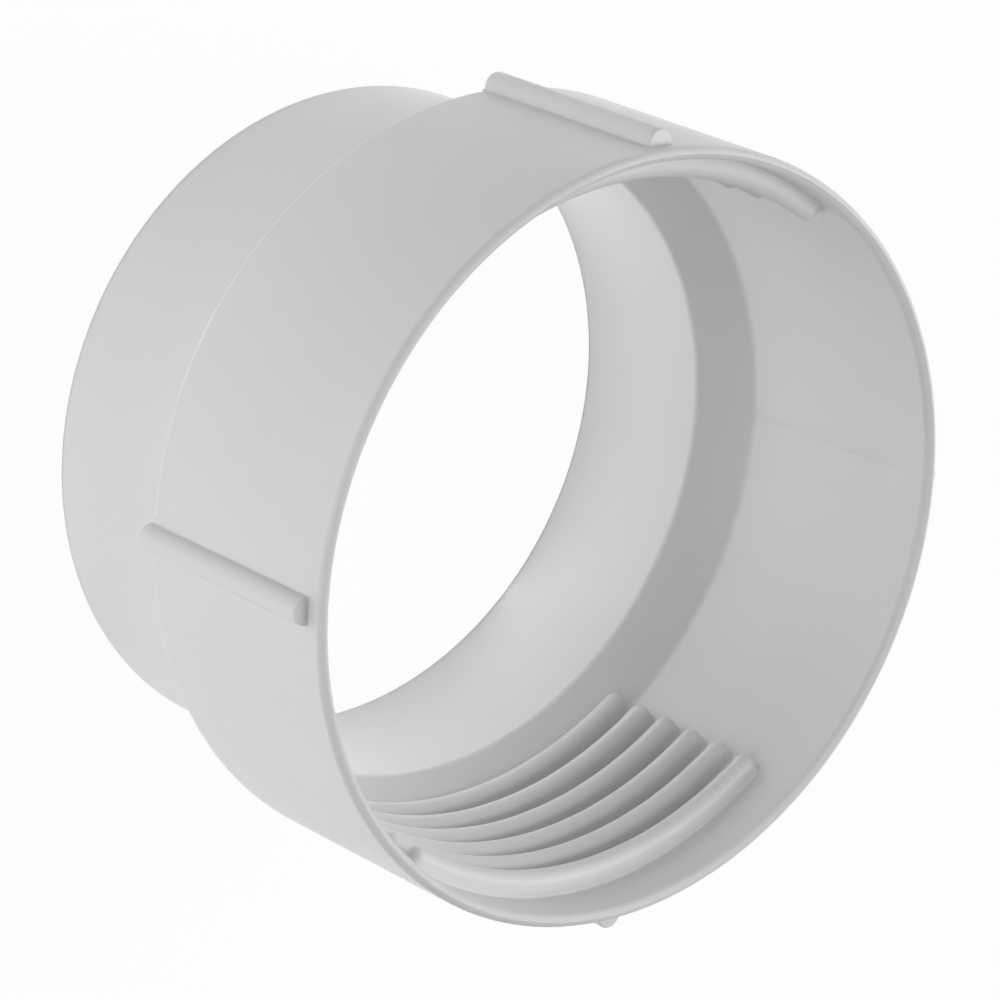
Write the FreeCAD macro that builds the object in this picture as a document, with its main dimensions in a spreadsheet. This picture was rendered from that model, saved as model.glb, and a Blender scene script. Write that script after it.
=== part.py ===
import FreeCAD, Part
import math
import os

import Sketcher

# Adapter that joins the exhaust hose of a portable air conditioner to a
# smaller round port. It is one moulded piece: a wide sleeve with short inner
# thread ribs that the hose screws into, a cone, and a narrower plain sleeve.
# Frame: +Z along the axis, from the narrow sleeve to the wide mouth, with the
# origin at the middle of the narrow sleeve's end face.

NODE = "hose_adapter"

# Millimetres, degrees and counts.
SIZES = (
    ("overall_height", 97.0, "narrow end face to the wide mouth's lip"),
    ("large_inner_radius", 75.0, "wide sleeve, inside"),
    ("large_wall", 2.6, "wide sleeve's wall at the mouth"),
    ("large_draft", 0.8, "wide sleeve's outside, widening towards the step"),
    ("small_inner_radius", 67.1, "narrow sleeve, inside"),
    ("small_wall", 1.9, "narrow sleeve's wall"),
    ("small_rim_round", 0.4, "edges of the narrow end face"),
    ("step_height", 45.5, "outer step edge above the narrow end face"),
    ("step_round", 0.8, "outer step edge"),
    ("cone_angle", 38.5, "cone's slope from the axis"),
    ("cone_wall", 2.4, "cone's wall, square to its slope"),
    ("cone_round", 0.8, "inner edge where the cone leaves the narrow sleeve"),
    ("grip_count", 4, "ribs outside the wide sleeve"),
    ("grip_width", 5.6, "outer rib, across"),
    ("grip_height", 3.3, "outer rib, above the sleeve"),
    ("grip_mouth_gap", 3.5, "lip to the outer rib's front end"),
    ("grip_front_round", 0.5, "edge of the outer rib's front end"),
    ("grip_rear_reach", 1.2, "outer rib's rear end, past the step edge"),
    ("grip_rear_round", 0.9, "edge of the outer rib's rear end"),
    ("thread_pitch", 8.1, "left-hand inner thread, one start"),
    ("thread_rows", 6, "thread ribs in each of the two groups"),
    ("thread_mouth_gap", 8.9, "lip to the first rib of the group on -X"),
    ("thread_half_span", 34.2, "middle of a thread rib to its domed end"),
    ("thread_short_span", 29.4, "the same towards +Y, for the ribs below the first on -X"),
    ("thread_width", 4.6, "thread rib, across"),
    ("thread_height", 5.0, "middle of a thread rib, above the wall"),
    ("thread_offset", 3.9, "a thread rib's own centre past the axis, which lowers its ends"),
)

# Sizes that follow from the ones above, as expressions.
LIP_RADIUS = "Sizes.large_wall / 2"
LIP_HEIGHT = f"(Sizes.overall_height - {LIP_RADIUS})"
LARGE_OUTER = "(Sizes.large_inner_radius + Sizes.large_wall)"
SMALL_OUTER = "(Sizes.small_inner_radius + Sizes.small_wall)"
STEP_RADIUS = (
    f"({LARGE_OUTER} + ({LIP_HEIGHT} - Sizes.step_height) * tan(Sizes.large_draft * 1 deg))"
)
CONE_FALL = "/ tan(Sizes.cone_angle * 1 deg)"
OUTER_CONE_START = f"(Sizes.step_height - ({STEP_RADIUS} - {SMALL_OUTER}) {CONE_FALL})"
CONE_END = (
    "(Sizes.step_height + Sizes.cone_wall / sin(Sizes.cone_angle * 1 deg)"
    f" - ({STEP_RADIUS} - Sizes.large_inner_radius) {CONE_FALL})"
)
CONE_START = (
    f"({CONE_END} - (Sizes.large_inner_radius - Sizes.small_inner_radius) {CONE_FALL})"
)
GRIP_START = "(Sizes.step_height - Sizes.grip_rear_reach)"
GRIP_START_RADIUS = (
    f"({STEP_RADIUS} + Sizes.grip_rear_reach * tan(Sizes.large_draft * 1 deg))"
)
GRIP_LENGTH = f"Sizes.overall_height - Sizes.grip_mouth_gap - {GRIP_START}"
THREAD_SPAN = "Sizes.thread_half_span"
THREAD_TILT = (
    "-atan(Sizes.thread_pitch * Sizes.thread_half_span / 360"
    " / (Sizes.large_inner_radius * sin(Sizes.thread_half_span * 1 deg)))"
)

# How far the core reaches past both ends of the sleeve that it is cut from.
CORE_OVERRUN = "Sizes.large_wall"

MATCH = 1e-4


def make_sheet(doc):
    sheet = doc.addObject("Spreadsheet::Sheet", "Sizes")
    for row, (name, value, meaning) in enumerate(SIZES, 1):
        sheet.set(f"A{row}", name)
        sheet.set(f"B{row}", str(value))
        sheet.set(f"C{row}", meaning)
        sheet.setAlias(f"B{row}", name)
    doc.recompute()


def size(doc, expression):
    return float(doc.Sizes.evalExpression(expression))


def make_body(doc, name, label):
    body = doc.addObject("PartDesign::Body", name)
    body.Label = label
    body.Placement = FreeCAD.Placement()
    return body


def origin_feature(body, role):
    for feature in body.Origin.OriginFeatures:
        if feature.Role == role:
            return feature
    raise RuntimeError(f"{body.Label} has no {role}")


def add_sketch(body, name, plane):
    sketch = body.newObject("Sketcher::SketchObject", name)
    sketch.AttachmentSupport = [(origin_feature(body, plane), "")]
    sketch.MapMode = "FlatFace"
    return sketch


def add_feature(body, kind, name, sketch, axis=None):
    feature = body.newObject(kind, name)
    feature.Profile = sketch
    if axis:
        feature.ReferenceAxis = (sketch, [axis])
    return feature


def add_dimension(sketch, kind, name, where, expression):
    value = size(sketch.Document, expression)
    index = sketch.addConstraint(Sketcher.Constraint(kind, *where, value))
    sketch.renameConstraint(index, name)
    sketch.setExpression(f"Constraints.{name}", expression)


def add_line(sketch, start, end):
    return sketch.addGeometry(Part.LineSegment(start, end), False)


def add_round(sketch, before, after, name, corner, radius):
    """Round the corner between two lines, which already stop short of it."""
    line_ends = sketch.Geometry[before].EndPoint, sketch.Geometry[after].StartPoint
    toward, away = (end - corner for end in line_ends)
    middle = corner + (toward + away).normalize() * math.hypot(toward.Length, size(sketch.Document, radius))
    angles = [math.atan2(end.y - middle.y, end.x - middle.x) for end in line_ends]
    left_turn = away.cross(toward).z > 0
    if not left_turn:
        angles.reverse()
    circle = Part.Circle(middle, FreeCAD.Vector(0, 0, 1), (line_ends[0] - middle).Length)
    arc = sketch.addGeometry(Part.ArcOfCircle(circle, *angles), False)
    entry, leave = (1, 2) if left_turn else (2, 1)
    sketch.addConstraint(Sketcher.Constraint("Tangent", before, 2, arc, entry))
    sketch.addConstraint(Sketcher.Constraint("Tangent", arc, leave, after, 1))
    add_dimension(sketch, "Radius", f"{name}_round", (arc,), radius)
    point = sketch.addGeometry(Part.Point(corner), True)
    for line in (before, after):
        sketch.addConstraint(Sketcher.Constraint("PointOnObject", point, 1, line))
    return point


def add_loop(sketch, corners):
    """Draw a closed loop of lines; each corner is (name, x, y, radius of its round).

    An x or y of 0 is held on that axis, and a radius of 0 leaves the corner sharp.
    """
    doc = sketch.Document
    points = [FreeCAD.Vector(size(doc, str(x)), size(doc, str(y)), 0) for _, x, y, _ in corners]
    count = len(corners)
    ends = []
    for i, point in enumerate(points):
        toward, away = ((points[(i + k) % count] - point).normalize() for k in (-1, 1))
        reach = size(doc, str(corners[i][3])) / math.tan(toward.getAngle(away) / 2)
        ends.append((point + toward * reach, point + away * reach))
    lines = [add_line(sketch, ends[i][1], ends[(i + 1) % count][0]) for i in range(count)]
    for i, (name, x, y, radius) in enumerate(corners):
        if radius:
            held = add_round(sketch, lines[i - 1], lines[i], name, points[i], radius)
        else:
            held = lines[i]
            sketch.addConstraint(Sketcher.Constraint("Coincident", lines[i - 1], 2, held, 1))
        for kind, value, axis in (("DistanceX", x, -2), ("DistanceY", y, -1)):
            if value:
                add_dimension(sketch, kind, f"{name}_{kind[-1]}", (-1, 1, held, 1), value)
            else:
                sketch.addConstraint(Sketcher.Constraint("PointOnObject", held, 1, axis))


def add_bullet(sketch, base, middle, radius, halved=False):
    """Draw a rib's section along the sketch's X axis: straight flanks and a round crown.

    It runs from base to the crown's middle and on by the crown's radius. The
    halved one keeps only the part above the axis, to be turned into a dome.
    """
    doc = sketch.Document
    foot, centre, half = size(doc, base), size(doc, middle), size(doc, radius)
    outward = centre > foot
    if halved:
        low = 0
        low_end = centre + half if outward else centre - half
    else:
        low = -half
        low_end = centre
    upper = add_line(sketch, FreeCAD.Vector(foot, half, 0), FreeCAD.Vector(centre, half, 0))
    circle = Part.Circle(FreeCAD.Vector(centre, 0, 0), FreeCAD.Vector(0, 0, 1), half)
    turn = math.pi / 2 if halved else math.pi
    start = math.pi / 2 - turn if outward else math.pi / 2
    crown = sketch.addGeometry(Part.ArcOfCircle(circle, start, start + turn), False)
    high_vertex, low_vertex = (2, 1) if outward else (1, 2)
    lower = add_line(sketch, FreeCAD.Vector(low_end, low, 0), FreeCAD.Vector(foot, low, 0))
    back = add_line(sketch, FreeCAD.Vector(foot, low, 0), FreeCAD.Vector(foot, half, 0))
    low_join = "Coincident" if halved else "Tangent"
    sketch.addConstraint(Sketcher.Constraint("Tangent", upper, 2, crown, high_vertex))
    sketch.addConstraint(Sketcher.Constraint(low_join, crown, low_vertex, lower, 1))
    sketch.addConstraint(Sketcher.Constraint("Coincident", lower, 2, back, 1))
    sketch.addConstraint(Sketcher.Constraint("Coincident", back, 2, upper, 1))
    sketch.addConstraint(Sketcher.Constraint("Horizontal", upper))
    sketch.addConstraint(Sketcher.Constraint("Vertical", back))
    sketch.addConstraint(Sketcher.Constraint("PointOnObject", crown, 3, -1))
    if halved:
        sketch.addConstraint(Sketcher.Constraint("PointOnObject", lower, 1, -1))
        sketch.addConstraint(Sketcher.Constraint("PointOnObject", lower, 2, -1))
    else:
        sketch.addConstraint(Sketcher.Constraint("Horizontal", lower))
    add_dimension(sketch, "DistanceX", "base", (-1, 1, back, 1), base)
    add_dimension(sketch, "DistanceX", "middle", (-1, 1, crown, 3), middle)
    add_dimension(sketch, "Radius", "crown", (crown,), radius)


def add_fillet(body, name, radius, wanted):
    """Round the edges of the body's last feature for which wanted(edge) holds."""
    body.Document.recompute()
    base = body.Tip
    edges = [f"Edge{i}" for i, edge in enumerate(base.Shape.Edges, 1) if wanted(edge)]
    if not edges:
        raise RuntimeError(f"{name} finds no edge")
    fillet = body.newObject("PartDesign::Fillet", name)
    fillet.Base = (base, edges)
    fillet.setExpression("Radius", radius)


def is_level(edge, height):
    box = edge.BoundBox
    return abs(box.ZMin - height) < MATCH and abs(box.ZMax - height) < MATCH


def make_core(doc):
    """The space inside both sleeves, with the thread ribs cut from it."""
    body = make_body(doc, "Core", "core")
    profile = add_sketch(body, "CoreProfile", "XZ_Plane")
    low, high = f"-{CORE_OVERRUN}", f"Sizes.overall_height + {CORE_OVERRUN}"
    small, large = "Sizes.small_inner_radius", "Sizes.large_inner_radius"
    corners = (
        ("axis_low", 0, low, 0),
        ("small_low", small, low, 0),
        ("cone_low", small, CONE_START, "Sizes.cone_round"),
        ("cone_high", large, CONE_END, 0),
        ("large_high", large, high, 0),
        ("axis_high", 0, high, 0),
    )
    add_loop(profile, corners)
    add_feature(body, "PartDesign::Revolution", "CoreForm", profile, "V_Axis")
    gap, pitch, rows = "Sizes.thread_mouth_gap", "Sizes.thread_pitch", "Sizes.thread_rows"
    short = "Sizes.thread_short_span"
    add_thread_ribs(body, "BackFirst", 180, gap, THREAD_SPAN)
    add_thread_ribs(body, "BackRest", 180, f"({gap} + {pitch})", short, f"{rows} - 1")
    add_thread_ribs(body, "Front", 0, f"({gap} + {pitch} / 2)", THREAD_SPAN, rows)
    return body


def rotation(x, y, angle):
    return f"create(<<rotation>>; create(<<vector>>; {x}; {y}; 0); {angle})"


def add_thread_sketch(body, name, facing, gap, along, halved=False):
    """Draw a thread rib's section on the plane that crosses the rib at that angle along it.

    The rib's centre lies past the sleeve's axis, so its crest sinks towards both ends.
    """
    sketch = add_sketch(body, name, "XZ_Plane")
    turns = (rotation(0, 1, facing), rotation(1, 0, THREAD_TILT), rotation(0, 1, along))
    aside = f"-Sizes.thread_offset * cos({facing} * 1 deg)"
    place = f"create(<<vector>>; {aside}; Sizes.overall_height - {gap}; 0)"
    sketch.setExpression("AttachmentOffset", f"create(<<placement>>; {place}; {' * '.join(turns)})")
    radius = "Sizes.thread_width / 2"
    wall = "Sizes.large_inner_radius + Sizes.thread_offset"
    middle = f"{wall} - Sizes.thread_height + {radius}"
    base = f"{wall} + {CORE_OVERRUN}"
    add_bullet(sketch, base, middle, radius, halved)
    return sketch


def add_thread_ribs(body, name, facing, gap, high_span, rows=None):
    """Cut a thread rib, a piece of a tilted ring with a dome at each end, in one or more rows.

    The tilt makes each piece follow the thread's helix, within 0.03 mm, and high_span
    reaches from the rib's middle to the end that the tilt raises.
    """
    middle = f"({THREAD_SPAN} - {high_span}) / 2"
    section = add_thread_sketch(body, f"{name}RibSection", facing, gap, middle)
    rib = add_feature(body, "PartDesign::Groove", f"{name}Rib", section, "V_Axis")
    rib.Midplane = True
    rib.setExpression("Angle", f"{THREAD_SPAN} + {high_span}")
    cuts = [rib]
    for end, along in (("Low", THREAD_SPAN), ("High", f"-{high_span}")):
        half = add_thread_sketch(body, f"{name}{end}EndSection", facing, gap, along, True)
        dome = add_feature(body, "PartDesign::Groove", f"{name}{end}End", half, "H_Axis")
        dome.Angle = 180
        dome.Reversed = end == "Low"
        cuts.append(dome)
    if rows:
        pattern = body.newObject("PartDesign::LinearPattern", f"{name}Rows")
        pattern.Originals = cuts
        pattern.Direction = (origin_feature(body, "Z_Axis"), [""])
        pattern.Reversed = True
        pattern.Mode = "Spacing"
        pattern.setExpression("Offset", "Sizes.thread_pitch")
        pattern.setExpression("Occurrences", rows)
        body.Tip = pattern


def make_grips(doc):
    """The outer ribs, which follow the wide sleeve's drafted side and reach into its wall."""
    body = make_body(doc, "Grips", "grips")
    body.AllowCompound = True
    section = add_sketch(body, "GripSection", "XY_Plane")
    foot = f"create(<<vector>>; {GRIP_START_RADIUS}; 0; {GRIP_START})"
    lean = rotation(0, 1, "-Sizes.large_draft")
    section.setExpression("AttachmentOffset", f"create(<<placement>>; {foot}; {lean})")
    middle = "Sizes.grip_height - Sizes.grip_width / 2"
    add_bullet(section, "-Sizes.large_wall / 2", middle, "Sizes.grip_width / 2")
    rib = add_feature(body, "PartDesign::Pad", "GripRib", section)
    rib.setExpression("Length", GRIP_LENGTH)
    doc.recompute()
    along = section.Placement.Rotation.multVec(FreeCAD.Vector(0, 0, 1))
    start = section.Placement.Base.dot(along)
    for name, radius, reach in (
        ("GripRearRound", "Sizes.grip_rear_round", 0),
        ("GripFrontRound", "Sizes.grip_front_round", size(doc, GRIP_LENGTH)),
    ):
        add_fillet(body, name, radius, lambda edge: is_rib_end(edge, along, start + reach))
    doc.recompute()
    ring = body.newObject("PartDesign::PolarPattern", "GripRing")
    ring.TransformMode = "Whole shape"
    ring.Axis = (origin_feature(body, "Z_Axis"), [""])
    ring.Angle = 360
    ring.setExpression("Occurrences", "Sizes.grip_count")
    body.Tip = ring
    return body


def is_rib_end(edge, along, level):
    """Whether an edge bounds the rib's end face there, except on the rib's buried back."""
    points = [vertex.Point for vertex in edge.Vertexes]
    at_end = all(abs(point.dot(along) - level) < MATCH for point in points)
    straight_across = points[0].distanceToPoint(points[-1]) - edge.Length > -MATCH
    return at_end and not (straight_across and abs(points[0].y - points[-1].y) > MATCH)


def make_adapter(doc):
    core = make_core(doc)
    grips = make_grips(doc)
    body = make_body(doc, "Adapter", NODE)
    profile = add_sketch(body, "SleeveProfile", "XZ_Plane")
    corners = (
        ("axis_low", 0, 0, 0),
        ("small_low", SMALL_OUTER, 0, "Sizes.small_rim_round"),
        ("small_high", SMALL_OUTER, OUTER_CONE_START, 0),
        ("step", STEP_RADIUS, "Sizes.step_height", "Sizes.step_round"),
        ("large_high", LARGE_OUTER, LIP_HEIGHT, 0),
        ("axis_high", 0, LIP_HEIGHT, 0),
    )
    add_loop(profile, corners)
    add_feature(body, "PartDesign::Revolution", "Sleeves", profile, "V_Axis")
    for name, kind, tool in (("WithGrips", "Fuse", grips), ("WithoutCore", "Cut", core)):
        joined = body.newObject("PartDesign::Boolean", name)
        joined.Type = kind
        joined.addObject(tool)
        doc.recompute()
    inner = size(doc, "Sizes.small_inner_radius")
    add_fillet(
        body, "SmallRimRound", "Sizes.small_rim_round",
        lambda edge: is_level(edge, 0) and edge.BoundBox.XMax < inner + MATCH,
    )
    add_lip(body)
    return body


def add_lip(body):
    """Close the wide mouth with a full round."""
    sketch = add_sketch(body, "LipSection", "XZ_Plane")
    doc = body.Document
    middle = size(doc, f"Sizes.large_inner_radius + {LIP_RADIUS}")
    height, radius = size(doc, LIP_HEIGHT), size(doc, LIP_RADIUS)
    circle = Part.Circle(FreeCAD.Vector(middle, height, 0), FreeCAD.Vector(0, 0, 1), radius)
    arc = sketch.addGeometry(Part.ArcOfCircle(circle, 0, math.pi), False)
    ends = (FreeCAD.Vector(middle + side * radius, height, 0) for side in (-1, 1))
    line = add_line(sketch, *ends)
    sketch.addConstraint(Sketcher.Constraint("Coincident", arc, 2, line, 1))
    sketch.addConstraint(Sketcher.Constraint("Coincident", line, 2, arc, 1))
    sketch.addConstraint(Sketcher.Constraint("Horizontal", line))
    sketch.addConstraint(Sketcher.Constraint("PointOnObject", arc, 3, line))
    add_dimension(sketch, "DistanceX", "inside", (-1, 1, line, 1), "Sizes.large_inner_radius")
    add_dimension(sketch, "DistanceY", "height", (-1, 1, line, 1), LIP_HEIGHT)
    add_dimension(sketch, "Radius", "round", (arc,), LIP_RADIUS)
    add_feature(body, "PartDesign::Revolution", "Lip", sketch, "V_Axis")


def check_document(doc):
    for item in doc.Objects:
        if "Invalid" in item.State or "Error" in item.State:
            raise RuntimeError(f"{item.Label} failed: {item.State}")


def main():
    doc = FreeCAD.newDocument("HoseAdapter")
    make_sheet(doc)
    adapter = make_adapter(doc)
    doc.recompute()
    check_document(doc)
    shape = adapter.Shape
    if shape.isNull() or not shape.isValid() or len(shape.Solids) != 1:
        raise RuntimeError("the adapter isn't one valid solid")
    os.makedirs("parts", exist_ok=True)
    shape.exportStep(f"parts/{NODE}.step")
    box = shape.BoundBox
    lengths = " x ".join(f"{length:.2f}" for length in (box.XLength, box.YLength, box.ZLength))
    print(f"{NODE}: {shape.Volume / 1000:.1f} cm3, {lengths} mm")


main()
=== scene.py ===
import math

import bmesh
import bpy
from bpy.props import FloatProperty, FloatVectorProperty, IntProperty, PointerProperty
from mathutils import Matrix, Vector


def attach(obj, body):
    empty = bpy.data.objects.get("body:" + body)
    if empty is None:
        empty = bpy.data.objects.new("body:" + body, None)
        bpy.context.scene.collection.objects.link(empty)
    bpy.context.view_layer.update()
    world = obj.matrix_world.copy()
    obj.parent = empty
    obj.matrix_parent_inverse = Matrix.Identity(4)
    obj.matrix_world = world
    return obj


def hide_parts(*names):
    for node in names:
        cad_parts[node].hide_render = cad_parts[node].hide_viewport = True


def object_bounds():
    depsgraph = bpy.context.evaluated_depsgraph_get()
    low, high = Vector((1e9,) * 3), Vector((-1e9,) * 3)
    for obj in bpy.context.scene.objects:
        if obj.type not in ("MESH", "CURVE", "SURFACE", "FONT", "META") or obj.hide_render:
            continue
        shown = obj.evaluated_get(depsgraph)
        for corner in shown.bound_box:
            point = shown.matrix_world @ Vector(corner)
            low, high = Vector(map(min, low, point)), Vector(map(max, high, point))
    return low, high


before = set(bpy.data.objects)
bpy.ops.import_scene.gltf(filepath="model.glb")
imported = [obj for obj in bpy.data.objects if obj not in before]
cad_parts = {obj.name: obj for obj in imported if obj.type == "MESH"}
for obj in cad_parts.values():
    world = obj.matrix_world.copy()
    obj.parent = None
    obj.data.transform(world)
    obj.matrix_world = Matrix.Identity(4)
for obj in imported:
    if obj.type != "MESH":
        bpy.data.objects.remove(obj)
CAD_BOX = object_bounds()

bl_info = {
    "name": "Hose adapter",
    "version": (1, 0, 0),
    "blender": (4, 5, 0),
    "location": "3D View > Sidebar > Hose adapter",
    "description": "Builds a moulded hose adapter and its studio",
    "category": "Add Mesh",
}

MM = 0.001
NODE = "hose_adapter"

# A point this near to a place counts as being there. A full spin leaves points further off.
TOUCH = MM / 1000
SPUN = MM / 100

# Vertices this near to each other become one.
MERGE = MM / 200


def length(name, description, millimetres):
    return FloatProperty(
        name=name,
        description=description,
        default=millimetres * MM,
        min=0,
        precision=5,
        unit="LENGTH",
        subtype="DISTANCE",
    )


def angle(name, description, degrees):
    return FloatProperty(
        name=name,
        description=description,
        default=math.radians(degrees),
        unit="ROTATION",
        subtype="ANGLE",
    )


def number(name, description, value, unit="NONE"):
    return FloatProperty(
        name=name, description=description, default=value, min=0, precision=3, unit=unit
    )


def colour(name, description, value):
    return FloatVectorProperty(
        name=name, description=description, default=value, min=0, max=1, size=3, subtype="COLOR"
    )


class SleeveSizes(bpy.types.PropertyGroup):
    """Both sleeves and the cone between them."""

    height: length("Height", "Narrow end face to the wide mouth's lip", CAD_BOX[1][2] / MM)
    large_inner_radius: length("Wide inner radius", "Wide sleeve, inside", 75)
    large_wall: length("Wide wall", "Wide sleeve's wall at the mouth", 2.6)
    lip_outer_drop: length("Lip's outer drop", "Outer side, below the lip's fine ridge", 0.25)
    lip_outer_round: length("Lip's outer round", "Soft outer side of the lip", 1.2)
    lip_inner_drop: length("Lip's inner drop", "Inner side, below the lip's fine ridge", 0.9)
    lip_inner_round: length("Lip's inner round", "Soft inner side of the lip", 0.8)
    step_radius: length("Step radius", "Outer step edge", 78.3)
    step_height: length("Step height", "Outer step edge above the narrow end face", 45.5)
    step_round: length("Step round", "Soft edge of the outer step", 0.45)
    small_inner_radius: length("Narrow inner radius", "Narrow sleeve, inside", 67.1)
    small_wall: length("Narrow wall", "Narrow sleeve's wall", 1.9)
    rim_round: length("Rim round", "Edges of the narrow end face", 0.4)
    cone_outer_start: length("Outer cone start", "Where the cone leaves the narrow outside", 33.81)
    cone_inner_start: length("Inner cone start", "Where the cone leaves the narrow inside", 35.27)
    cone_inner_end: length("Inner cone end", "Where the cone meets the wide inside", 45.2)
    cone_round: length("Cone round", "Soft start of the cone outside", 0.3)
    cone_inner_round: length("Inner cone round", "Soft edges of the cone inside", 0.7)
    columns: IntProperty(name="Columns", description="Faces around", default=720, min=72)
    row: length("Row", "Height of the inner wall's faces", 2)


class GripSizes(bpy.types.PropertyGroup):
    """The ribs outside the wide sleeve."""

    count: IntProperty(name="Outer ribs", description="Ribs outside", default=4, min=1)
    width: length("Width", "Outer rib, across", 5.6)
    height: length("Height", "Outer rib, above the sleeve", 3.27)
    mouth_gap: length("Mouth gap", "Lip to the outer rib's front end", 3.5)
    front_round: length("Front round", "Edge of the front end", 0.5)
    rear_reach: length("Rear reach", "Rear end, past the step edge", 1.2)
    rear_round: length("Rear round", "Edge of the rear end", 0.9)
    foot_round: length("Foot round", "Fillet where a rib meets the sleeve", 0.4)
    draft: angle("Draft", "Lean that follows the sleeve's outside", 0.8)


class SinkSizes(bpy.types.PropertyGroup):
    """The shrink grooves behind the outer ribs."""

    depth: length("Depth", "Shrink groove inside the wall, behind an outer rib", 0.5)
    reach: length("Reach", "Half the shrink groove's width", 3.4)
    low: length("Low end", "Groove's end at the cone", 46)
    high: length("High end", "Groove's end near the lip", 88)


class ThreadSizes(bpy.types.PropertyGroup):
    """The thread ribs inside the wide sleeve."""

    rows: IntProperty(name="Rows", description="Thread ribs in a group", default=6, min=2)
    pitch: length("Pitch", "Left-hand thread, one start", 8.1)
    mouth_gap: length("Mouth gap", "Lip to the first rib of the group on -X", 8.9)
    half_span: angle("Half span", "Middle of a rib to its domed end", 36)
    short_span: angle("Short span", "The same towards +Y, below the first rib on -X", 31)
    width: length("Width", "Thread rib, across", 4.6)
    height: length("Height", "Middle of a thread rib, above the wall", 5.0)
    end_height: length("End height", "Ends of a thread rib, above the wall", 4.29)
    foot_round: length("Foot round", "Fillet where a rib meets the wall", 0.5)
    unevenness: length("Unevenness", "How far the ribs' skin wanders", 0.12)
    wander: length("Wander", "Length of the skin's waves", 5)


class Finish(bpy.types.PropertyGroup):
    """Colours and gloss."""

    plastic: colour("Plastic", "Light grey moulded plastic", (0.745, 0.745, 0.745))
    plastic_dull: colour("Dull plastic", "The same where the skin is duller", (0.725, 0.725, 0.725))
    floor: colour("Floor", "Pale studio floor", (0.8, 0.8, 0.8))
    floor_dull: colour("Dull floor", "The same in its darker clouds", (0.78, 0.78, 0.78))
    floor_white: number("White share", "Share of the seen floor that is plain white", 0.96)


class Studio(bpy.types.PropertyGroup):
    """Strengths of the lamps, in watts, and of the room's even light."""

    back: number("Back lamp", "Soft lamp high towards +Y", 6.6, "POWER")
    low_back: number("Low back lamp", "Soft lamp at half height towards +Y", 2.193, "POWER")
    low_back_left: number("Low back left lamp", "Between +Y and -X", 2.907, "POWER")
    left: number("Left lamp", "Soft lamp high towards -Y", 2.0, "POWER")
    low_left: number("Low left lamp", "Soft lamp near the floor towards -Y", 7.2, "POWER")
    table: number("Light table", "Light that comes up from the floor", 0.44, "POWER")
    inner_table: number("Inner light table", "More of it inside the narrow end", 0.016, "POWER")
    room: number("Room", "Even light from all sides", 0.05)


class Lens(bpy.types.PropertyGroup):
    """Where the photograph was taken from, and how the camera was turned."""

    place: FloatVectorProperty(
        name="Place",
        description="Camera",
        default=(-0.264016, -0.520775, 0.672526),
        unit="LENGTH",
        subtype="TRANSLATION",
    )
    right: FloatVectorProperty(
        name="Right",
        description="Picture's right",
        default=(-0.052236, 0.775475, 0.629214),
        subtype="XYZ",
    )
    down: FloatVectorProperty(
        name="Down",
        description="Picture's down",
        default=(0.948002, -0.159576, 0.27537),
        subtype="XYZ",
    )
    focal: number("Focal length", "In millimetres, with the sensor's width", 154.664, "CAMERA")
    sensor: number("Sensor", "Width in millimetres", 36, "CAMERA")


def deselect():
    if bpy.context.mode != "OBJECT":
        bpy.ops.object.mode_set(mode="OBJECT")
    bpy.ops.object.select_all(action="DESELECT")


def choose(piece):
    deselect()
    piece.select_set(True)
    bpy.context.view_layer.objects.active = piece


def select_where(wanted, kind="verts"):
    """Select the edit mesh's vertices or edges for which wanted holds, and nothing else."""
    mesh = bpy.context.edit_object.data
    shape = bmesh.from_edit_mesh(mesh)
    bpy.ops.mesh.select_mode(type={"verts": "VERT", "edges": "EDGE"}[kind])
    bpy.ops.mesh.select_all(action="DESELECT")
    for item in getattr(shape, kind):
        if wanted(item):
            item.select_set(True)
    shape.select_flush_mode()
    bmesh.update_edit_mesh(mesh)


def near(vertex, place):
    return (vertex.co - place).length < TOUCH


def turn(sweep, axis, centre=(0, 0, 0)):
    """Turn what is selected, right-handed about the axis. The operator itself turns left."""
    bpy.ops.transform.rotate(value=-sweep, orient_axis=axis, center_override=centre)


def spin(steps, sweep, axis):
    """Spin what is selected, right-handed about an axis through the origin."""
    bpy.ops.mesh.spin(steps=steps, angle=sweep, center=(0, 0, 0), axis=-Vector(axis))


def merge_doubles():
    bpy.ops.mesh.select_all(action="SELECT")
    bpy.ops.mesh.remove_doubles(threshold=MERGE)


def close_mesh():
    """Merge what meets, and turn all faces outwards."""
    merge_doubles()
    bpy.ops.mesh.normals_make_consistent(inside=False)


def draw_outline(name, corners):
    """Draw a closed outline in the XZ plane, corner by corner, and stay in edit mode.

    Each corner is (x, z), or (x, z, reach of its round along both edges, steps of the round).
    """
    places = [Vector((x, 0, z)) for x, z, *_ in corners]
    deselect()
    bpy.ops.mesh.primitive_plane_add(size=MM, location=places[0])
    piece = bpy.context.object
    piece.name = name
    bpy.ops.object.transform_apply(location=True, rotation=True, scale=True)
    bpy.ops.object.mode_set(mode="EDIT")
    bpy.ops.mesh.select_mode(type="VERT")
    bpy.ops.mesh.select_all(action="SELECT")
    bpy.ops.mesh.merge(type="CENTER")
    for before, place in zip(places, places[1:]):
        bpy.ops.mesh.extrude_vertices_move(TRANSFORM_OT_translate={"value": place - before})
    select_where(lambda v: near(v, places[0]) or near(v, places[-1]))
    bpy.ops.mesh.edge_face_add()
    for place, (_, _, *soft) in zip(places, corners):
        if soft:
            reach, steps = soft
            select_where(lambda v: near(v, place))
            bpy.ops.mesh.bevel(
                affect="VERTICES", offset=reach, segments=steps, clamp_overlap=False
            )
    bpy.ops.mesh.select_all(action="SELECT")
    return piece


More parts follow.
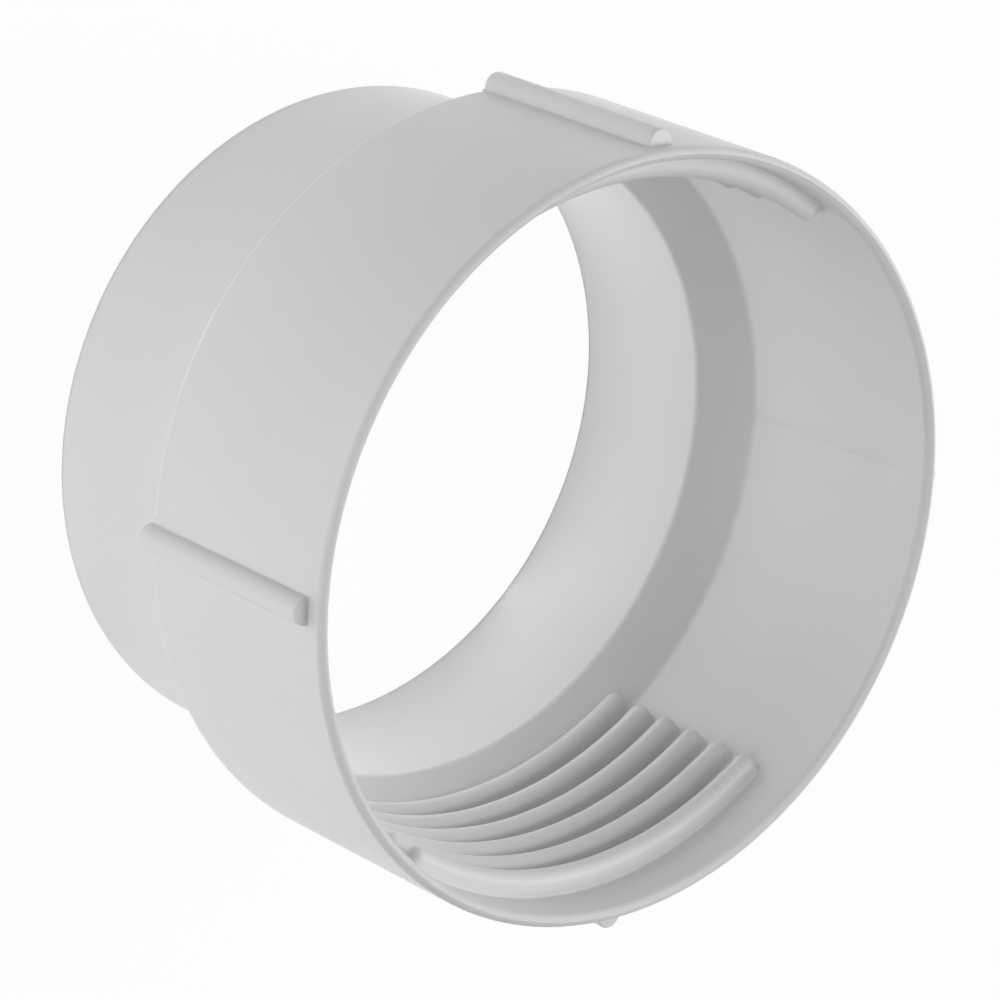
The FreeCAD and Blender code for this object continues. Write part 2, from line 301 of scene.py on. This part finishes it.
def add_modifier(piece, kind, **settings):
    choose(piece)
    modifier = piece.modifiers.new(kind.title(), kind)
    for key, value in settings.items():
        setattr(modifier, key, value)
    bpy.ops.object.modifier_apply(modifier=modifier.name)


def join(name, pieces):
    deselect()
    for piece in pieces:
        piece.select_set(True)
    bpy.context.view_layer.objects.active = pieces[0]
    if len(pieces) > 1:
        bpy.ops.object.join()
    pieces[0].name = name
    return pieces[0]


def copy_of(piece):
    choose(piece)
    bpy.ops.object.duplicate(linked=False)
    return bpy.context.object


def turned_copies(piece, places):
    """Copies of a piece, each turned about the axis and raised, as (turn, rise)."""
    copies = []
    for turned, rise in places:
        made = copy_of(piece)
        bpy.ops.object.mode_set(mode="EDIT")
        bpy.ops.mesh.select_all(action="SELECT")
        turn(turned, "Z")
        bpy.ops.transform.translate(value=(0, 0, rise))
        bpy.ops.object.mode_set(mode="OBJECT")
        copies.append(made)
    choose(piece)
    bpy.ops.object.delete()
    return copies


def check_closed(piece):
    """Stop with a plain message where a piece's mesh has an open or shared edge."""
    shape = bmesh.new()
    shape.from_mesh(piece.data)
    faults = sum(not edge.is_manifold for edge in shape.edges)
    shape.free()
    if faults or not piece.data.polygons:
        raise RuntimeError(f"{piece.name} isn't closed: {faults} open or shared edges")


def made_before(name):
    piece = bpy.data.objects.get(name)
    if piece is None:
        raise RuntimeError(f"{name} has to be modelled first")
    return piece


def make_sleeve(sizes):
    """The wall of both sleeves and the cone, turned about the axis from its outline."""
    large = sizes.large_inner_radius
    small = sizes.small_inner_radius
    low = sizes.cone_inner_end
    outer_top = sizes.height - sizes.lip_outer_drop
    inner_top = sizes.height - sizes.lip_inner_drop
    high = inner_top - sizes.lip_inner_round
    rows = round((high - low) / sizes.row)
    corners = [
        (small + sizes.small_wall, 0, sizes.rim_round, 3),
        (small + sizes.small_wall, sizes.cone_outer_start, sizes.cone_round, 3),
        (sizes.step_radius, sizes.step_height, sizes.step_round, 5),
        (large + sizes.large_wall, outer_top, sizes.lip_outer_round, 9),
        (large + sizes.large_wall / 2, sizes.height),
        (large, inner_top, sizes.lip_inner_round, 8),
        *((large, low + (high - low) * i / rows) for i in range(rows - 1, 0, -1)),
        (large, low, sizes.cone_inner_round, 6),
        (small, sizes.cone_inner_start, sizes.cone_inner_round, 6),
        (small, 0, sizes.rim_round, 3),
    ]
    piece = draw_outline("sleeve", corners)
    merge_doubles()
    bpy.ops.mesh.select_all(action="SELECT")
    spin(sizes.columns, math.tau, (0, 0, 1))
    close_mesh()
    bpy.ops.object.mode_set(mode="OBJECT")
    return piece


def sink_grooves(piece, sizes, sinks):
    """Pull shallow shrink grooves into the inner wall, behind the outer ribs on the Y axis.

    The outer skin is hidden meanwhile, so that the pull doesn't reach it.
    """
    middle = sizes.large_inner_radius + sizes.large_wall / 2
    choose(piece)
    bpy.ops.object.mode_set(mode="EDIT")
    select_where(lambda v: v.co.xy.length > middle)
    bpy.ops.mesh.hide()
    for side in (-1, 1):
        select_where(
            lambda v: abs(v.co.x) < SPUN
            and abs(v.co.y * side - sizes.large_inner_radius) < SPUN
            and sinks.low < v.co.z < sinks.high
        )
        bpy.ops.transform.translate(
            value=(0, side * sinks.depth, 0),
            use_proportional_edit=True,
            proportional_edit_falloff="SHARP",
            proportional_size=sinks.reach,
        )
    bpy.ops.mesh.reveal(select=False)
    bpy.ops.object.mode_set(mode="OBJECT")


def quarter(steps):
    """Angles from 0 to 90 degrees in even steps."""
    return [math.radians(90 / steps * i) for i in range(steps + 1)]


def rib_outline(width, height, foot, depth):
    """Half of a rib's section as (height above the wall, distance from its middle), crown first.

    It ends in a concave foot that runs into the wall, and then goes down inside it.
    """
    radius = width / 2
    crown = [
        (height - radius + radius * math.cos(a), radius * math.sin(a)) for a in quarter(8)
    ]
    bends = quarter(6)[:-1]
    fillet = [(foot * (1 - math.sin(a)), radius + foot * (1 - math.cos(a))) for a in bends]
    last_height, last_side = fillet[-1]
    # The foot's straight end crosses the wall's surface and stops this far below it.
    under = MM / 12
    side = last_side + (last_height + under) / math.tan(math.pi / 2 - bends[-1])
    return [*crown, *fillet, (-under, side), (-depth, side)]


def whole_outline(half):
    """A closed section: down one side from the crown, across the buried back, and up the other."""
    return [*half, (half[-1][0], 0.0), *((u, -v) for u, v in reversed(half[1:]))]


def sink_crest(wall, sizes, high_span, stations):
    """Lower the crest towards the rib's ends, most at the ends themselves."""
    crown = wall - (sizes.height - sizes.width / 2) + TOUCH
    fall = (sizes.height - sizes.end_height) / (1 - math.cos(sizes.half_span))
    for i in range(stations + 1):
        along = -high_span + (sizes.half_span + high_span) * i / stations
        outward = Vector((math.cos(along), math.sin(along), 0))
        side = Vector((-outward.y, outward.x, 0))
        end = {0: -1, stations: 1}.get(i, 0)
        select_where(
            lambda v: v.co.dot(outward) < crown
            and (v.co.dot(side) * end > -TOUCH if end else abs(v.co.dot(side)) < TOUCH)
        )
        bpy.ops.transform.translate(value=outward * fall * (1 - math.cos(along)))


def make_thread_rib(name, sleeve, sizes, high_span):
    """One thread rib at the height of the origin: a section spun along the wall, with domed ends.

    The tilt raises the end that high_span reaches to.
    """
    wall = sleeve.large_inner_radius
    stations, dome_steps = 80, 16
    half = rib_outline(sizes.width, sizes.height, sizes.foot_round, sleeve.large_wall / 2)
    piece = draw_outline(name, [(wall - u, v) for u, v in whole_outline(half)])
    turn(-high_span, "Z")
    spin(stations, high_span + sizes.half_span, (0, 0, 1))
    for end, span in ((-1, high_span), (1, sizes.half_span)):
        outward = Vector((math.cos(span), end * math.sin(span), 0))
        side = Vector((-outward.y, outward.x, 0))
        select_where(
            lambda e: all(abs(v.co.dot(side)) < TOUCH and v.co.z > -TOUCH for v in e.verts),
            "edges",
        )
        spin(dome_steps, math.pi, outward * -end)
    close_mesh()
    sink_crest(wall, sizes, high_span, stations)
    bpy.ops.mesh.select_all(action="SELECT")
    tilt = math.atan(sizes.pitch * sizes.half_span / math.tau / wall / math.sin(sizes.half_span))
    turn(-tilt, "X")
    bpy.ops.object.mode_set(mode="OBJECT")
    return piece


def trim_backs(thread, sleeve):
    """Cut the ribs' backs off in the middle of the wall, so that none shows outside the cone."""
    middle = sleeve.large_wall / 2
    large = sleeve.large_inner_radius + middle
    small = sleeve.small_inner_radius + sleeve.small_wall / 2
    inside = small - 20 * MM
    start = (sleeve.cone_outer_start + sleeve.cone_inner_start) / 2
    low, high = start - 10 * MM, sleeve.height - middle
    corners = [
        (inside, low),
        (small, low),
        (small, start),
        (large, sleeve.cone_inner_end),
        (large, high),
        (inside, high),
    ]
    keep = draw_outline("wall_middle", corners)
    spin(sleeve.columns // 4, math.tau, (0, 0, 1))
    close_mesh()
    bpy.ops.object.mode_set(mode="OBJECT")
    add_modifier(thread, "BOOLEAN", operation="INTERSECT", solver="EXACT", object=keep)
    choose(keep)
    bpy.ops.object.delete()


def make_thread(sleeve, sizes):
    """Both groups of thread ribs, half a pitch apart."""
    first = sleeve.height - sizes.mouth_gap
    long_rib = make_thread_rib("long_rib", sleeve, sizes, sizes.half_span)
    places = [(0, first - sizes.pitch * (row + 0.5)) for row in range(sizes.rows)]
    ribs = turned_copies(long_rib, [(math.pi, first), *places])
    short_rib = make_thread_rib("short_rib", sleeve, sizes, sizes.short_span)
    places = [(math.pi, first - sizes.pitch * row) for row in range(1, sizes.rows)]
    thread = join("thread_ribs", [*ribs, *turned_copies(short_rib, places)])
    wander = bpy.data.textures.new("wander", "CLOUDS")
    wander.noise_scale = sizes.wander
    add_modifier(
        thread, "DISPLACE", texture=wander, strength=sizes.unevenness, texture_coords="LOCAL"
    )
    trim_backs(thread, sleeve)
    return thread


def make_grips(sleeve, sizes):
    """The outer ribs: a section extruded along the sleeve, shrinking at its rounded ends."""
    depth = sleeve.large_wall / 2
    half = rib_outline(sizes.width, sizes.height, sizes.foot_round, depth)
    rise = sizes.rear_reach * math.tan(sizes.draft)
    foot = Vector((sleeve.step_radius + rise, 0, sleeve.step_height - sizes.rear_reach))
    corners = [(foot.x + u, foot.z + v) for u, v in whole_outline(half)]
    piece = draw_outline("outer_rib", corners)
    bpy.ops.mesh.edge_face_add()
    turn(math.pi / 2, "X", foot)
    long = sleeve.height - sizes.mouth_gap - foot.z
    rear, front = sizes.rear_round, sizes.front_round
    stations = [
        *((rear * (1 - math.sin(a)), rear * (1 - math.cos(a))) for a in quarter(6)),
        *((front * (1 - math.sin(a)), long - front * (1 - math.cos(a))) for a in quarter(6)[::-1]),
    ]

    def shrunk(inset):
        return Vector((1 - inset / sizes.height, 1 - 2 * inset / sizes.width, 1))

    bpy.ops.transform.resize(value=shrunk(stations[0][0]), center_override=foot)
    for (before, low), (inset, high) in zip(stations, stations[1:]):
        bpy.ops.mesh.extrude_region_move(TRANSFORM_OT_translate={"value": (0, 0, high - low)})
        old, new = shrunk(before), shrunk(inset)
        bpy.ops.transform.resize(value=(new.x / old.x, new.y / old.y, 1), center_override=foot)
    bpy.ops.mesh.select_all(action="SELECT")
    bpy.ops.mesh.normals_make_consistent(inside=False)
    turn(-sizes.draft, "Y", foot)
    bpy.ops.object.mode_set(mode="OBJECT")
    places = [(math.tau * i / sizes.count, 0) for i in range(sizes.count)]
    return join("outer_ribs", turned_copies(piece, places))


def mould(sleeve, ribs):
    """Fuse the ribs with the sleeve's wall into one piece, smooth but for its sharp edges."""
    tool = join("ribs", ribs)
    add_modifier(sleeve, "BOOLEAN", operation="UNION", solver="EXACT", object=tool)
    choose(tool)
    bpy.ops.object.delete()
    choose(sleeve)
    sleeve.name = "moulded_adapter"
    sharp_from = math.radians(28)
    bpy.ops.object.shade_smooth_by_angle(angle=sharp_from)
    add_modifier(sleeve, "WEIGHTED_NORMAL", keep_sharp=True)
    return sleeve


def new_group(name, inputs, outputs):
    """An empty shader node group with named number inputs and outputs."""
    group = bpy.data.node_groups.new(name, "ShaderNodeTree")
    for label, value in inputs.items():
        socket = group.interface.new_socket(label, in_out="INPUT", socket_type="NodeSocketFloat")
        socket.default_value = value
    for label in outputs:
        group.interface.new_socket(label, in_out="OUTPUT", socket_type="NodeSocketFloat")
    return group, group.nodes.new("NodeGroupInput"), group.nodes.new("NodeGroupOutput")


def noise_in(group, source, scale, detail):
    """A noise on the piece's own coordinates, whose scale comes from the group's input."""
    place = group.nodes.new("ShaderNodeTexCoord")
    noise = group.nodes.new("ShaderNodeTexNoise")
    noise.inputs["Detail"].default_value = detail
    group.links.new(place.outputs["Object"], noise.inputs["Vector"])
    group.links.new(source.outputs[scale], noise.inputs["Scale"])
    return noise.outputs["Fac"]


def drift_group():
    """Slow clouds between two values, for the tone and the gloss of a surface."""
    group, source, target = new_group("slow_drift", {"Scale": 20, "Low": 0, "High": 1}, ["Value"])
    clouds = noise_in(group, source, "Scale", 2)
    spread = group.nodes.new("ShaderNodeMapRange")
    spread.inputs["From Min"].default_value = 0.3
    spread.inputs["From Max"].default_value = 0.7
    group.links.new(clouds, spread.inputs["Value"])
    group.links.new(source.outputs["Low"], spread.inputs["To Min"])
    group.links.new(source.outputs["High"], spread.inputs["To Max"])
    group.links.new(spread.outputs["Result"], target.inputs["Value"])
    return group


def grain_group():
    """Fine grain over soft waves, as a height in metres."""
    inputs = {
        "Grain scale": 1500,
        "Grain height": 0.000002,
        "Wave scale": 60,
        "Wave height": 0.00001,
    }
    group, source, target = new_group("satin_grain", inputs, ["Height"])
    parts = []
    for kind, detail in (("Grain", 2), ("Wave", 1)):
        noise = noise_in(group, source, f"{kind} scale", detail)
        tall = group.nodes.new("ShaderNodeMath")
        tall.operation = "MULTIPLY"
        group.links.new(noise, tall.inputs[0])
        group.links.new(source.outputs[f"{kind} height"], tall.inputs[1])
        parts.append(tall.outputs["Value"])
    both = group.nodes.new("ShaderNodeMath")
    for part, socket in zip(parts, both.inputs):
        group.links.new(part, socket)
    group.links.new(both.outputs["Value"], target.inputs["Height"])
    return group


def place_group(material, name, build, values):
    """Put a shared group into a material with its own values."""
    node = material.node_tree.nodes.new("ShaderNodeGroup")
    node.node_tree = bpy.data.node_groups.get(name) or build()
    for label, value in values.items():
        node.inputs[label].default_value = value
    return node


def dress(name, light, dull, gloss, drift_scale, grain):
    """A material whose tone, gloss and grain drift over the surface; returns it with its shader."""
    material = bpy.data.materials.new(name)
    material.use_nodes = True
    tree = material.node_tree
    shader = tree.nodes["Principled BSDF"]
    tone = place_group(material, "slow_drift", drift_group, {"Scale": drift_scale})
    mix = tree.nodes.new("ShaderNodeMix")
    mix.data_type = "RGBA"
    colours = [socket for socket in mix.inputs if socket.type == "RGBA"]
    for socket, value in zip(colours, (dull, light)):
        socket.default_value = (*value, 1)
    tree.links.new(tone.outputs["Value"], mix.inputs["Factor"])
    mixed = next(socket for socket in mix.outputs if socket.type == "RGBA")
    tree.links.new(mixed, shader.inputs["Base Color"])
    values = {"Scale": drift_scale * 3, "Low": gloss[0], "High": gloss[1]}
    satin = place_group(material, "slow_drift", drift_group, values)
    tree.links.new(satin.outputs["Value"], shader.inputs["Roughness"])
    relief = place_group(material, "satin_grain", grain_group, grain)
    bump = tree.nodes.new("ShaderNodeBump")
    bump.inputs["Distance"].default_value = 1
    tree.links.new(relief.outputs["Height"], bump.inputs["Height"])
    tree.links.new(bump.outputs["Normal"], shader.inputs["Normal"])
    return material, shader


def plastic(finish):
    """Light grey moulded plastic with a satin skin."""
    grain = {
        "Grain scale": 1400,
        "Grain height": 0.0000025,
        "Wave scale": 45,
        "Wave height": 0.00002,
    }
    material, _ = dress(
        "grey_plastic",
        finish.plastic,
        finish.plastic_dull,
        gloss=(0.42, 0.5),
        drift_scale=14,
        grain=grain,
    )
    return material


def pale_floor(finish):
    """A pale matt floor that a camera sees as white, with the object's shadow left on it."""
    grain = {
        "Grain scale": 300,
        "Grain height": 0.00002,
        "Wave scale": 8,
        "Wave height": 0.0001,
    }
    material, shader = dress(
        "pale_floor",
        finish.floor,
        finish.floor_dull,
        gloss=(0.75, 0.9),
        drift_scale=3,
        grain=grain,
    )
    tree = material.node_tree
    white = tree.nodes.new("ShaderNodeEmission")
    white.inputs["Strength"].default_value = 1
    share = tree.nodes.new("ShaderNodeMath")
    share.operation = "MULTIPLY"
    share.inputs[1].default_value = finish.floor_white
    tree.links.new(seen_directly(tree), share.inputs[0])
    mix = tree.nodes.new("ShaderNodeMixShader")
    tree.links.new(share.outputs["Value"], mix.inputs["Fac"])
    tree.links.new(shader.outputs["BSDF"], mix.inputs[1])
    tree.links.new(white.outputs["Emission"], mix.inputs[2])
    tree.links.new(mix.outputs["Shader"], tree.nodes["Material Output"].inputs["Surface"])
    return material


def seen_directly(tree):
    """1 where a camera, glossy or transmission ray looks, and 0 for the light that spreads."""
    path = tree.nodes.new("ShaderNodeLightPath")
    seen = path.outputs["Is Camera Ray"]
    for other in ("Is Glossy Ray", "Is Transmission Ray"):
        either = tree.nodes.new("ShaderNodeMath")
        either.operation = "MAXIMUM"
        tree.links.new(seen, either.inputs[0])
        tree.links.new(path.outputs[other], either.inputs[1])
        seen = either.outputs["Value"]
    return seen


def white_room(studio):
    """A world that looks white, and lights the object only by the room's even light."""
    world = bpy.data.worlds.new("white_room")
    world.use_nodes = True
    tree = world.node_tree
    even = tree.nodes["Background"]
    even.inputs["Color"].default_value = (1, 1, 1, 1)
    even.inputs["Strength"].default_value = studio.room
    white = tree.nodes.new("ShaderNodeBackground")
    white.inputs["Color"].default_value = (1, 1, 1, 1)
    white.inputs["Strength"].default_value = 1
    mix = tree.nodes.new("ShaderNodeMixShader")
    tree.links.new(seen_directly(tree), mix.inputs["Fac"])
    tree.links.new(even.outputs["Background"], mix.inputs[1])
    tree.links.new(white.outputs["Background"], mix.inputs[2])
    tree.links.new(mix.outputs["Shader"], tree.nodes["World Output"].inputs["Surface"])
    return world


def add_floor(finish):
    deselect()
    bpy.ops.mesh.primitive_circle_add(vertices=96, radius=1.5, fill_type="NGON")
    floor = bpy.context.object
    floor.name = "floor"
    floor.data.materials.append(pale_floor(finish))


def soft_lamp(name, place, aim, size, watts):
    """A square area lamp that shines from place towards aim and isn't seen itself."""
    bpy.ops.object.light_add(type="AREA", location=place)
    lamp = bpy.context.object
    lamp.name = name
    lamp.data.shape = "SQUARE"
    lamp.data.size = size
    lamp.data.energy = watts
    lamp.rotation_mode = "QUATERNION"
    lamp.rotation_quaternion = (Vector(aim) - Vector(place)).to_track_quat("-Z", "Y")
    lamp.visible_camera = False


def add_lamps(studio):
    """Soft lamps around the object, and a light table that it stands on.

    The table's two lamps lie at heights of their own, because in one plane they lose light.
    """
    middle = Vector((0, 0, 0.05))
    distance, size = 1.2, 0.8
    around = (
        ("back_lamp", 90, 60, studio.back),
        ("low_back_lamp", 90, 30, studio.low_back),
        ("low_back_left_lamp", 135, 30, studio.low_back_left),
        ("left_lamp", 270, 60, studio.left),
        ("low_left_lamp", 270, 6, studio.low_left),
    )
    for name, azimuth, elevation, watts in around:
        turned, raised = math.radians(azimuth), math.radians(elevation)
        flat = Vector((math.cos(turned), math.sin(turned), 0)) * math.cos(raised)
        away = flat + Vector((0, 0, math.sin(raised)))
        soft_lamp(name, middle + away * distance, middle, size, watts)
    up = Vector((0, 0, 1))
    soft_lamp("light_table", up * MM / 50, up, 0.6, studio.table)
    soft_lamp("inner_light_table", up * MM / 10, up, 0.094, studio.inner_table)


def look_from(context, lens):
    bpy.ops.object.camera_add(location=lens.place)
    camera = context.object
    camera.name = "photo_camera"
    right = Vector(lens.right).normalized()
    up = -Vector(lens.down).normalized()
    back = right.cross(up)
    camera.rotation_mode = "QUATERNION"
    camera.rotation_quaternion = Matrix((right, up, back)).transposed().to_quaternion()
    camera.data.lens = lens.focal
    camera.data.sensor_width = lens.sensor
    camera.data.clip_start = 10 * MM
    context.scene.camera = camera


class HOSEADAPTER_OT_sleeve(bpy.types.Operator):
    """Model the sleeves and the cone as one turned wall"""

    bl_idname = "hose_adapter.sleeve"
    bl_label = "Add sleeve"

    def execute(self, context):
        scene = context.scene
        piece = make_sleeve(scene.sleeve_sizes)
        sink_grooves(piece, scene.sleeve_sizes, scene.sink_sizes)
        check_closed(piece)
        return {"FINISHED"}


class HOSEADAPTER_OT_thread(bpy.types.Operator):
    """Model the thread ribs inside the wide sleeve"""

    bl_idname = "hose_adapter.thread"
    bl_label = "Add thread ribs"

    def execute(self, context):
        check_closed(make_thread(context.scene.sleeve_sizes, context.scene.thread_sizes))
        return {"FINISHED"}


class HOSEADAPTER_OT_grips(bpy.types.Operator):
    """Model the ribs outside the wide sleeve"""

    bl_idname = "hose_adapter.grips"
    bl_label = "Add outer ribs"

    def execute(self, context):
        check_closed(make_grips(context.scene.sleeve_sizes, context.scene.grip_sizes))
        return {"FINISHED"}


class HOSEADAPTER_OT_mould(bpy.types.Operator):
    """Fuse the ribs with the sleeve and give the piece its plastic"""

    bl_idname = "hose_adapter.mould"
    bl_label = "Fuse the adapter"

    def execute(self, context):
        ribs = [made_before("thread_ribs"), made_before("outer_ribs")]
        piece = mould(made_before("sleeve"), ribs)
        check_closed(piece)
        piece.data.materials.append(plastic(context.scene.finish))
        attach(piece, "root")
        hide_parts(NODE)
        return {"FINISHED"}


class HOSEADAPTER_OT_stage(bpy.types.Operator):
    """Set up the camera, the floor, the room and the lamps"""

    bl_idname = "hose_adapter.stage"
    bl_label = "Add stage"

    def execute(self, context):
        scene = context.scene
        add_floor(scene.finish)
        add_lamps(scene.studio)
        look_from(context, scene.lens)
        scene.world = white_room(scene.studio)
        scene.view_settings.view_transform = "Standard"
        return {"FINISHED"}


GROUPS = {
    "sleeve_sizes": SleeveSizes,
    "grip_sizes": GripSizes,
    "sink_sizes": SinkSizes,
    "thread_sizes": ThreadSizes,
    "finish": Finish,
    "studio": Studio,
    "lens": Lens,
}
OPERATORS = (
    HOSEADAPTER_OT_sleeve,
    HOSEADAPTER_OT_thread,
    HOSEADAPTER_OT_grips,
    HOSEADAPTER_OT_mould,
    HOSEADAPTER_OT_stage,
)


class HOSEADAPTER_PT_panel(bpy.types.Panel):
    """The adapter's steps in order, with the sizes and colours that they use"""

    bl_label = "Hose adapter"
    bl_idname = "HOSEADAPTER_PT_panel"
    bl_space_type = "VIEW_3D"
    bl_region_type = "UI"
    bl_category = "Hose adapter"

    def draw(self, context):
        for operator in OPERATORS:
            self.layout.operator(operator.bl_idname)
        for name, group in GROUPS.items():
            box = self.layout.box()
            box.label(text=name.replace("_", " ").capitalize())
            for label in group.__annotations__:
                box.prop(getattr(context.scene, name), label)


CLASSES = (*GROUPS.values(), *OPERATORS, HOSEADAPTER_PT_panel)


def register():
    for item in CLASSES:
        bpy.utils.register_class(item)
    for name, group in GROUPS.items():
        setattr(bpy.types.Scene, name, PointerProperty(type=group))


def unregister():
    for name in GROUPS:
        delattr(bpy.types.Scene, name)
    for item in reversed(CLASSES):
        bpy.utils.unregister_class(item)


def main():
    register()
    bpy.ops.hose_adapter.sleeve()
    bpy.ops.hose_adapter.thread()
    bpy.ops.hose_adapter.grips()
    bpy.ops.hose_adapter.mould()
    bpy.ops.hose_adapter.stage()


if __name__ == "__main__":
    main()
